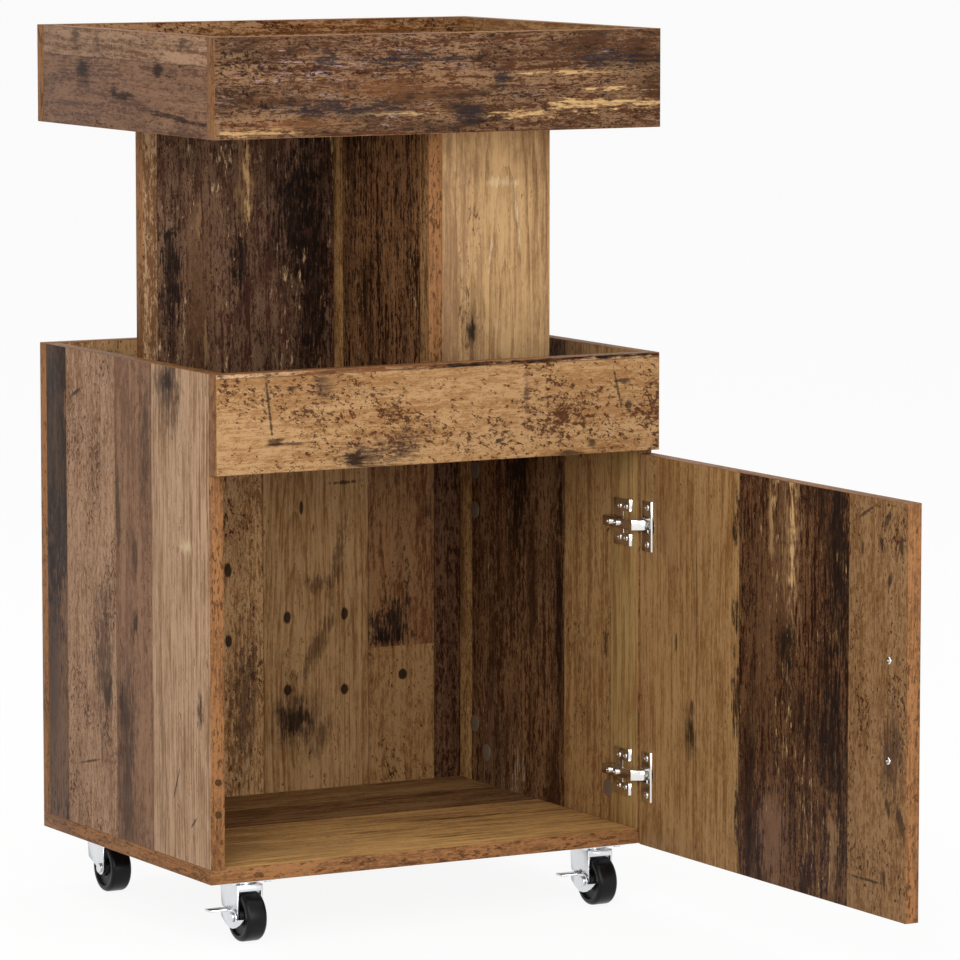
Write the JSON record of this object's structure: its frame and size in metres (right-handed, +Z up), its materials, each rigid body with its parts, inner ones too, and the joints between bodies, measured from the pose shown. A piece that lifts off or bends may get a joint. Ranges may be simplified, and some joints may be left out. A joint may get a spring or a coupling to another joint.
{
  "type": "serving cart",
  "caption": "Rolling serving cart of printed old-wood boards: a cabinet with a hinged door, a tray on top of it, and a second tray carried above on a stepped column.",
  "frame": {"origin": "on the floor under the middle of the trays", "axes": "+Z up, +X to the cart's right seen from the front, -Y out of the front where the door is"},
  "size_m": [0.515, 0.886, 0.893],
  "materials": {
    "old_wood": "matt laminate printed as old mixed planks",
    "beech": "plain",
    "zinc_steel": "zinc plated",
    "nickel_steel": "nickel plated",
    "brushed_steel": "brushed",
    "grey_plastic": "matt",
    "dark_plastic": "matt",
    "black_plastic": "satin"
  },
  "bodies": {
    "cabinet": {"bottom_board": "old_wood", "left_side_panel": "old_wood", "right_side_panel": "old_wood", "back_panel": "old_wood", "lower_tray_floor": "old_wood", "lower_tray_front": "old_wood", "column_left_panel": "old_wood", "column_middle_panel": "old_wood", "column_right_panel": "old_wood", "top_tray_floor": "old_wood", "top_tray_front": "old_wood", "top_tray_back": "old_wood", "top_tray_left_side": "old_wood", "top_tray_right_side": "old_wood", "cam_locks": "zinc_steel", "cam_bolts": "zinc_steel", "cover_caps": "grey_plastic", "dowels": "beech", "column_screws": "zinc_steel", "door_bumpers": "dark_plastic", "upper_hinge_plate": "nickel_steel", "upper_hinge_arm": "nickel_steel", "lower_hinge_plate": "nickel_steel", "lower_hinge_arm": "nickel_steel", "hinge_plate_screws": "zinc_steel", "hinge_arm_screws": "zinc_steel", "caster_screws": "zinc_steel", "caster_king_pins": "zinc_steel", "front_left_caster_plate": "zinc_steel", "front_right_caster_plate": "zinc_steel", "rear_left_caster_plate": "zinc_steel", "rear_right_caster_plate": "zinc_steel"},
    "door": {"door_panel": "old_wood", "door_handle": "brushed_steel", "handle_screws": "zinc_steel", "upper_hinge_cup": "nickel_steel", "upper_hinge_pin": "nickel_steel", "lower_hinge_cup": "nickel_steel", "lower_hinge_pin": "nickel_steel", "hinge_cup_screws": "zinc_steel"},
    "front_left_fork": {"front_left_caster_fork": "zinc_steel", "front_left_caster_axle": "zinc_steel"},
    "front_left_wheel": {"front_left_caster_wheel": "black_plastic"},
    "front_left_brake": {"front_left_caster_brake_lever": "zinc_steel"},
    "front_right_fork": {"front_right_caster_fork": "zinc_steel", "front_right_caster_axle": "zinc_steel"},
    "front_right_wheel": {"front_right_caster_wheel": "black_plastic"},
    "front_right_brake": {"front_right_caster_brake_lever": "zinc_steel"},
    "rear_left_fork": {"rear_left_caster_fork": "zinc_steel", "rear_left_caster_axle": "zinc_steel"},
    "rear_left_wheel": {"rear_left_caster_wheel": "black_plastic"},
    "rear_right_fork": {"rear_right_caster_fork": "zinc_steel", "rear_right_caster_axle": "zinc_steel"},
    "rear_right_wheel": {"rear_right_caster_wheel": "black_plastic"}
  },
  "joints": [
    {"name": "door_hinge", "type": "hinge", "parent": "cabinet", "child": "door", "pos_m": [0.241, -0.196, 0.26325], "axis": [0, 0, 1], "range_deg": [-90, 10]},
    {"name": "front_left_swivel", "type": "hinge", "parent": "cabinet", "child": "front_left_fork", "pos_m": [-0.2, -0.154, 0.057], "axis": [0, 0, 1], "continuous": true},
    {"name": "front_left_roll", "type": "hinge", "parent": "front_left_fork", "child": "front_left_wheel", "pos_m": [-0.2, -0.165, 0.025], "axis": [1, 0, 0], "continuous": true},
    {"name": "front_left_brake", "type": "hinge", "parent": "front_left_fork", "child": "front_left_brake", "pos_m": [-0.2, -0.165, 0.025], "axis": [1, 0, 0], "range_deg": [-20, 0]},
    {"name": "front_right_swivel", "type": "hinge", "parent": "cabinet", "child": "front_right_fork", "pos_m": [0.2, -0.154, 0.057], "axis": [0, 0, 1], "continuous": true},
    {"name": "front_right_roll", "type": "hinge", "parent": "front_right_fork", "child": "front_right_wheel", "pos_m": [0.2, -0.165, 0.025], "axis": [1, 0, 0], "continuous": true},
    {"name": "front_right_brake", "type": "hinge", "parent": "front_right_fork", "child": "front_right_brake", "pos_m": [0.2, -0.165, 0.025], "axis": [1, 0, 0], "range_deg": [-20, 0]},
    {"name": "rear_left_swivel", "type": "hinge", "parent": "cabinet", "child": "rear_left_fork", "pos_m": [-0.2, 0.154, 0.057], "axis": [0, 0, 1], "continuous": true},
    {"name": "rear_left_roll", "type": "hinge", "parent": "rear_left_fork", "child": "rear_left_wheel", "pos_m": [-0.2, 0.143, 0.025], "axis": [1, 0, 0], "continuous": true},
    {"name": "rear_right_swivel", "type": "hinge", "parent": "cabinet", "child": "rear_right_fork", "pos_m": [0.2, 0.154, 0.057], "axis": [0, 0, 1], "continuous": true},
    {"name": "rear_right_roll", "type": "hinge", "parent": "rear_right_fork", "child": "rear_right_wheel", "pos_m": [0.2, 0.143, 0.025], "axis": [1, 0, 0], "continuous": true}
  ]
}
